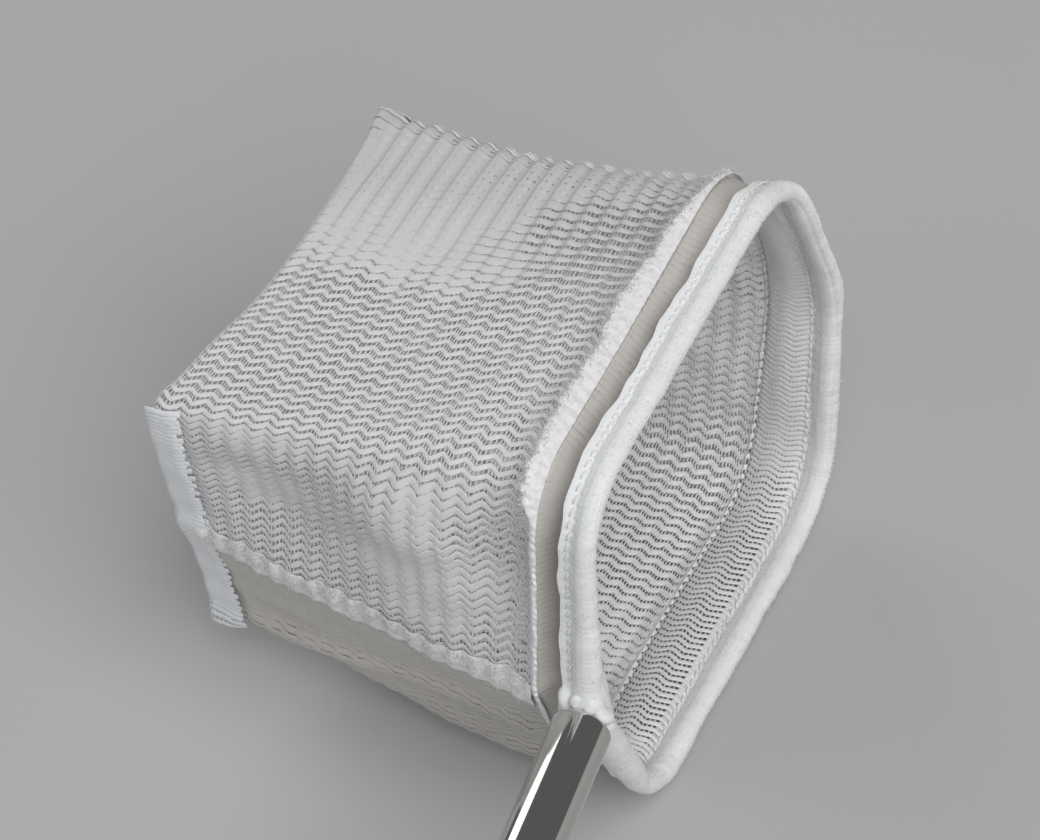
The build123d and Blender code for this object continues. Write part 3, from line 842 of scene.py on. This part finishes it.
saw = np.exp(-(((share - 0.62) / 0.10) ** 2)) * smooth((q - 1.9) / 0.3) * smooth((5.2 - q) / 0.3)
relief = relief + sleeve["sawHeight"] * saw * np.cos(2 * np.pi * length / sleeve["sawPitch"])
relief = relief - sleeve["pinchDepth"] * pinch * np.maximum(0, stitchWave) ** 2
yz, out = loopAt(mouthLoop, length), loopOut(mouthLoop, q)
reach = reach * swell + np.sign(reach) * relief
depth = depth * swell + relief * np.cos(np.clip(fromFold / sleeve["wrapShare"], 0, 1) * np.pi / 2)
depth = depth + roundTheMouth(q, sleeve["shift"]) * (1 - smooth((fromFold - 0.5) / 0.3))
clear = np.maximum(1, sleeve["wireClear"] / np.hypot(reach, depth))  # the cloth stays outside the wire
reach, depth = reach * clear, depth * clear
points = np.stack([depth, yz[..., 0] + reach * out[..., 0], yz[..., 1] + reach * out[..., 1]], -1)
index = np.arange(length.size).reshape(length.shape)
uvAlong = 0.01 + 0.98 * (length - rimPlaces[0]) / (rimPlaces[-1] - rimPlaces[0])
uv = np.stack([uvAlong, 0.01 + 0.98 * share], -1).reshape(-1, 2)
rimPiece = addPiece("rimSleeve", toShared(points).reshape(-1, 3), [ringFaces(index, closed=False)], uv)
finishPiece(rimPiece, rimYarn, "rim_mesh", "rim_sleeve")
chosen = chance.integers(0, length.size, sleeve["fibres"])
chosen = chosen[(share.ravel()[chosen] > 0.16) & (share.ravel()[chosen] < 0.84)]
fromWire = np.stack([depth, reach * out[..., 0], reach * out[..., 1]], -1).reshape(-1, 3)[chosen]
frayRoot = points.reshape(-1, 3)[chosen]
rimFray = feltFray("rimFray", frayRoot, fromWire, 0.0, len(chosen), sleeve["longest"], "rim_mesh")
print("rim sleeve folded")

# Rim stitching: a short arched thread at each stitch, outside and inside the pinched fold.
firstStitch = sleeve["start"] + stitch["margin"]
lastStitch = rimLength - sleeve["start"] - stitch["margin"]
centres = np.arange(firstStitch, lastStitch, stitch["pitch"])
bendShare = np.linspace(-1, 1, 5)
threads = []
for side in (-1, 1):
    place = centres[:, None] + 0.5 * stitch["pitch"] + stitch["reach"] * bendShare
    q = wallOf(mouthLoop, place)
    yz, out = loopAt(mouthLoop, place), loopOut(mouthLoop, q)
    away = side * (stitch["away"] + stitch["rise"] * (1 - bendShare ** 2))
    depth = stitch["depth"] + 0.2 * bendShare + chance.normal(0, 0.05, (len(centres), 1))
    path = np.stack([depth, yz[..., 0] + away * out[..., 0], yz[..., 1] + away * out[..., 1]], -1)
    tangent = unit(np.gradient(path, axis=1))
    up = np.stack([0 * away + 0 * place, side * out[..., 0], side * out[..., 1]], -1)
    beside = np.cross(up, tangent)
    rings = np.stack([path + stitch["thread"] * k for k in (up, beside, -up, -beside)], 2)
    index = np.arange(rings[..., 0].size).reshape(rings.shape[:3])
    strand = 0.3 + 0.2 * side + 0.02 * np.arange(4)
    uv = np.stack(np.broadcast_arrays((place / rimLength)[..., None], strand), -1)
    faces = [ringFaces(index), index[:, 0], index[:, -1, ::-1]]
    threads.append((rings.reshape(-1, 3), faces, uv.reshape(-1, 2)))
points, faces, uv = together(*threads)
finishPiece(addPiece("rimStitches", toShared(points), faces, uv), threadYarn, "thread", "rim_stitching")
print("rim stitched:", len(centres), "stitches a side")

# Leg binding: cloth wound round both legs where they leave the sleeve, and its gathered end packed as a
# lumpy ring between the legs and the tube's mouth.
binding = dict(
    turns=1.3,
    radius=1.85,
    growth=0.25,
    half=6.3,
    rise=1.3,
    folds=7,
    fold=0.08,
    ringRadius=2.5,
    ringThick=0.85,
    ringRise=-0.75,
    lumps=4.5,
    lump=0.55,
    cut=(0.030, 0.0126),
)
turnShare, lengthShare = np.meshgrid(np.linspace(0, 1, 120), np.linspace(-1, 1, 41), indexing="ij")
angle = 2 * np.pi * binding["turns"] * turnShare - 0.6
flare = 1 - 0.22 * smooth((np.abs(lengthShare) - 0.2) / 0.8)
radius = (binding["radius"] + binding["growth"] * turnShare) * flare
radius = radius + binding["fold"] * np.cos(binding["folds"] * angle + 1.4 * lengthShare)
radius = radius + 0.10 * ripple(3 * angle, 4 * lengthShare, 71)
endWave = 1 + 0.06 * ripple(4 * angle, 0 * angle, 72)
heel = loopAt(mouthLoop, np.mod(binding["half"] * lengthShare, rimLength))[..., 0] - mouthLoop["points"][0, 0]
points = np.stack([radius * np.cos(angle), binding["rise"] + 0.6 * heel + radius * np.sin(angle),
                   binding["half"] * lengthShare * endWave], -1)
index = np.arange(angle.size).reshape(angle.shape)
uv = np.stack([0.02 + 0.96 * turnShare, 0.26 + 0.23 * lengthShare], -1)
wound = (points.reshape(-1, 3), [ringFaces(index, closed=False)], uv.reshape(-1, 2))

roundShare, sectionShare = np.meshgrid(np.linspace(0, 1, 97)[:-1], np.linspace(0, 1, 25)[:-1], indexing="ij")
turn, section = 2 * np.pi * roundShare, 2 * np.pi * sectionShare
lumps = np.abs(np.sin(binding["lumps"] * turn + 0.6 * np.sin(section)))
thick = binding["ringThick"] + binding["lump"] * lumps
thick = thick + 0.12 * ripple(2 * np.cos(turn), 2 * np.sin(turn), 73) + 0.10 * np.cos(3 * section + 4 * turn)
flap = np.exp(-((np.mod(turn - 2.5 + np.pi, 2 * np.pi) - np.pi) / 0.30) ** 2)
away = binding["ringRadius"] + thick * np.cos(section) * (1 + 0.7 * flap)
rise = binding["ringRise"] + thick * np.sin(section) + 0.6 * flap * np.cos(section)
points = np.stack([away * np.cos(turn), rise, 1.08 * away * np.sin(turn)], -1)
index = np.arange(turn.size).reshape(turn.shape)
index = np.vstack([index, index[:1]])
uv = np.stack([0.02 + 0.96 * roundShare, 0.54 + 0.44 * sectionShare], -1)
packed = (points.reshape(-1, 3), [ringFaces(index)[:, ::-1]], uv.reshape(-1, 2))
points, faces, uv = together(wound, packed)
wrap = addPiece("legBinding", toShared(points), faces, uv)
finishPiece(wrap, rimYarn, "rim_mesh", "leg_binding")
print("legs bound")


# Handle finishes for the solids that stay. Steel: fine streaks along the tube vary its gloss.
def steelFinish(name, tone, roughness):
    f = Finish(name)
    lines = f.add("Mapping", Vector=f.place(), Scale=(900.0, 12.0, 900.0))
    streaks = f.noise(1.0, 2.0, lines)
    f.set(Base_Color=tone, Metallic=1.0, Roughness=roughness + 0.05 * streaks)
    return f.material


# Moulded plastic or rubber: two close tones and a fine grain.
def mouldedFinish(name, low, high, roughness, grain, depth):
    f = Finish(name)
    grains = f.noise(grain, 2.0)
    f.set(Base_Color=f.blend(f.noise(60.0), low, high), Roughness=roughness + 0.12 * grains)
    f.set(Normal=f.bump(grains, 0.5, depth))
    return f.material


steelTube = steelFinish("polishedSteel", (0.66, 0.65, 0.63, 1), 0.05)
steelWire = steelFinish("wireSteel", (0.58, 0.58, 0.57, 1), 0.22)
bushNylon = mouldedFinish("bushNylon", (0.72, 0.72, 0.70, 1), (0.78, 0.78, 0.76, 1), 0.38, 900.0, 0.0001)
gripRubber = mouldedFinish(
    "gripRubber", (0.018, 0.018, 0.019, 1), (0.030, 0.030, 0.031, 1), 0.55, 1500.0, 0.0002,
)
capPlastic = mouldedFinish(
    "capPlastic", (0.020, 0.020, 0.021, 1), (0.028, 0.028, 0.030, 1), 0.34, 1100.0, 0.0001,
)
nodeFinishes = dict(
    main_tube=steelTube, mid_tube=steelTube, tip_tube=steelTube, hoop_wire=steelWire,
    wire_plug=bushNylon, mid_bush=bushNylon, tip_bush=bushNylon,
    grip=gripRubber, end_cap=capPlastic,
)
for node, material in nodeFinishes.items():
    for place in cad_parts[node].material_slots:
        place.material = material
print("handle finished")

# Floor under the lowest point, soft lamps, pale surround and the photograph's camera.
studio = dict(
    floorHalf=3.0,
    floorLow=(0.505, 0.505, 0.51, 1),
    floorHigh=(0.52, 0.52, 0.52, 1),
    world=(0.80, 0.81, 0.82, 1),
    worldStrength=0.16,
    aim=(-0.03, 0.19, 0.0),
)
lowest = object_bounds()[0].z
edge = studio["floorHalf"]
floorCorners = [(-edge, -edge, lowest), (edge, -edge, lowest), (edge, edge, lowest), (-edge, edge, lowest)]
floor = addPiece("floor", np.array(floorCorners), [np.array([[0, 1, 2, 3]])])
floorFinish = Finish("floorPaper")
floorTone = floorFinish.blend(floorFinish.noise(6.0), studio["floorLow"], studio["floorHigh"])
floorFinish.set(Base_Color=floorTone, Roughness=0.75)
floor.data.materials.append(floorFinish.material)

world = bpy.data.worlds.new("paleSurround")
world.use_nodes = True
surround = world.node_tree.nodes["Background"].inputs
surround["Color"].default_value = studio["world"]
surround["Strength"].default_value = studio["worldStrength"]
bpy.context.scene.world = world


# Lamp that faces the net: place and size in metres.
def addLamp(name, place, size, power, colour):
    data = bpy.data.lights.new(name, "AREA")
    data.shape, data.size, data.size_y = "RECTANGLE", size[0], size[1]
    data.energy, data.color = power, colour
    lamp = bpy.data.objects.new(name, data)
    back = unit(np.array(place) - np.array(studio["aim"]))
    right = unit(np.cross([0, 0, 1], back))
    up = np.cross(back, right)
    lamp.matrix_world = Matrix([[right[k], up[k], back[k], place[k]] for k in range(3)] + [[0, 0, 0, 1]])
    bpy.context.scene.collection.objects.link(lamp)


addLamp("keyLamp", (0.55, -0.15, 0.85), (0.9, 0.9), 9.4, (1.0, 0.99, 0.975))
addLamp("sideLamp", (-0.70, -0.45, 0.60), (0.8, 0.6), 1.5, (0.95, 0.975, 1.0))
addLamp("backLamp", (-0.75, 0.75, 0.50), (0.8, 0.5), 2.4, (1.0, 0.97, 0.94))

# Camera of the photograph: at azimuth 0 it looks along +Y, and it looks down by its elevation, in degrees.
view = dict(
    place=(0.10674, -0.01556, 0.29442),
    azimuth=29.98,
    elevation=50.15,
    roll=-12.31,
    lens=97.675,
    shift=(-0.05106, 0.04376),
)
a, e, r = np.radians([view["azimuth"], view["elevation"], view["roll"]])
forward = np.array([-np.sin(a) * np.cos(e), np.cos(a) * np.cos(e), -np.sin(e)])
level = np.array([np.cos(a), np.sin(a), 0.0])
right = np.cos(r) * level + np.sin(r) * np.cross(level, forward)
up = np.cross(right, forward)
lensData = bpy.data.cameras.new("photoCamera")
lensData.sensor_width, lensData.lens = 36.0, view["lens"]
lensData.shift_x, lensData.shift_y = view["shift"]
lensData.clip_start = 0.01
camera = bpy.data.objects.new("photoCamera", lensData)
rows = [[right[k], up[k], -forward[k], view["place"][k]] for k in range(3)]
camera.matrix_world = Matrix(rows + [[0, 0, 0, 1]])
bpy.context.scene.collection.objects.link(camera)
bpy.context.scene.camera = camera
bpy.context.scene.view_settings.view_transform = "Standard"
print("studio ready")
